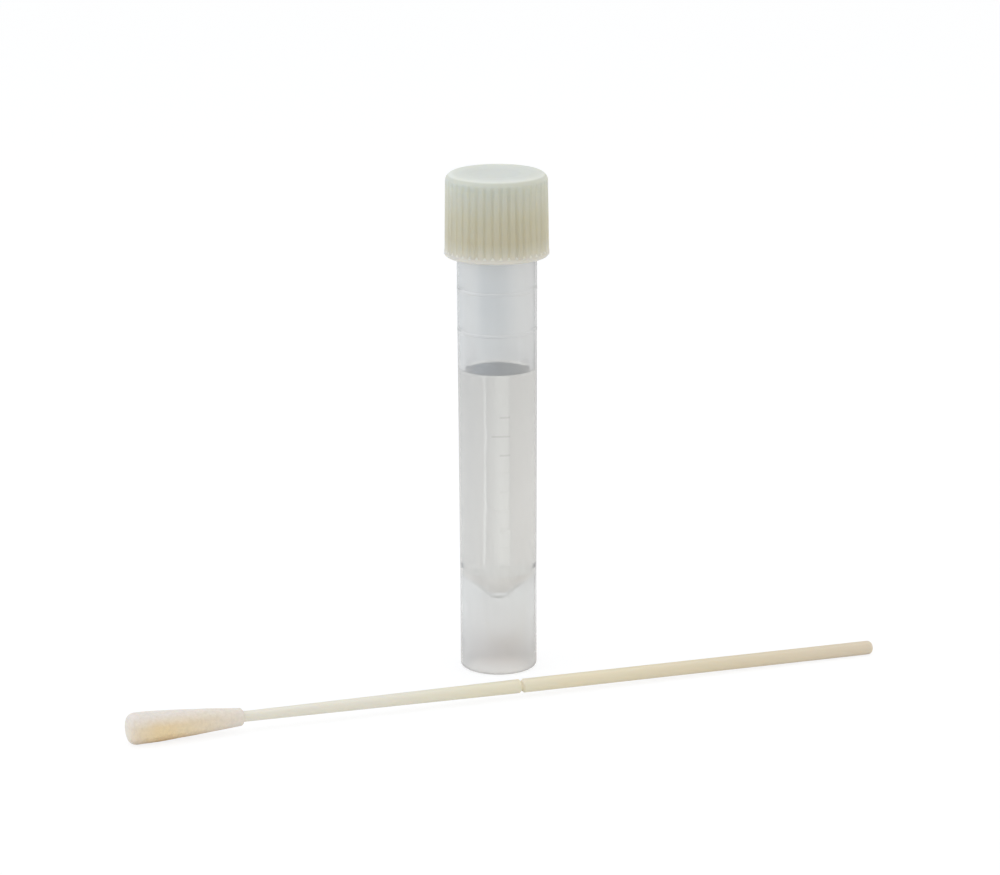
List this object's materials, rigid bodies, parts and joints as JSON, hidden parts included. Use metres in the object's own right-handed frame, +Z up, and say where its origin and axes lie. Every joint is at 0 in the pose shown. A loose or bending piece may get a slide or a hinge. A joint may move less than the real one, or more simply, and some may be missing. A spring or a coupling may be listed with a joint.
{
  "type": "specimen swab tube",
  "caption": "Clear self-standing screw-cap tube part filled with liquid medium, with a ribbed cap, a sealing disc and a foam-tipped break-off swab lying in front of it.",
  "frame": {"origin": "centre of the tube's foot, on the surface that the tube stands on", "axes": "+Z up along the tube, from the foot to the cap; +X to the right, roughly along the swab's handle; -Y to the front, where the swab lies"},
  "size_m": [0.1166, 0.0481, 0.08],
  "materials": {
    "clear_polypropylene": "translucent natural polypropylene, smooth moulded outside, slightly hazy",
    "liquid_medium": null,
    "sealing_disc": "soft white silicone, matt",
    "cap_polypropylene": "natural off-white polypropylene, fine satin",
    "swab_plastic": "cream moulded plastic, satin",
    "swab_foam": "cream open-cell foam, fine and matt"
  },
  "bodies": {
    "tube": {"tube": "clear_polypropylene", "medium": "liquid_medium", "swab_shaft": "swab_plastic", "swab_bud": "swab_foam"},
    "sealing_disc": {"cap_liner": "sealing_disc"},
    "cap": {"cap": "cap_polypropylene"}
  },
  "joints": [
    {"name": "cap_rise", "type": "slide", "parent": "tube", "child": "sealing_disc", "axis": [0, 0, 1], "range_m": [0, 0.012]},
    {"name": "cap_turn", "type": "hinge", "parent": "sealing_disc", "child": "cap", "pos_m": [0, 0, 0.0735], "axis": [0, 0, 1], "range_deg": [0, 1440.5]}
  ],
  "couplings": [
    {"joint": "cap_turn", "follows": "cap_rise", "rad_per_m": 2094.4}
  ]
}
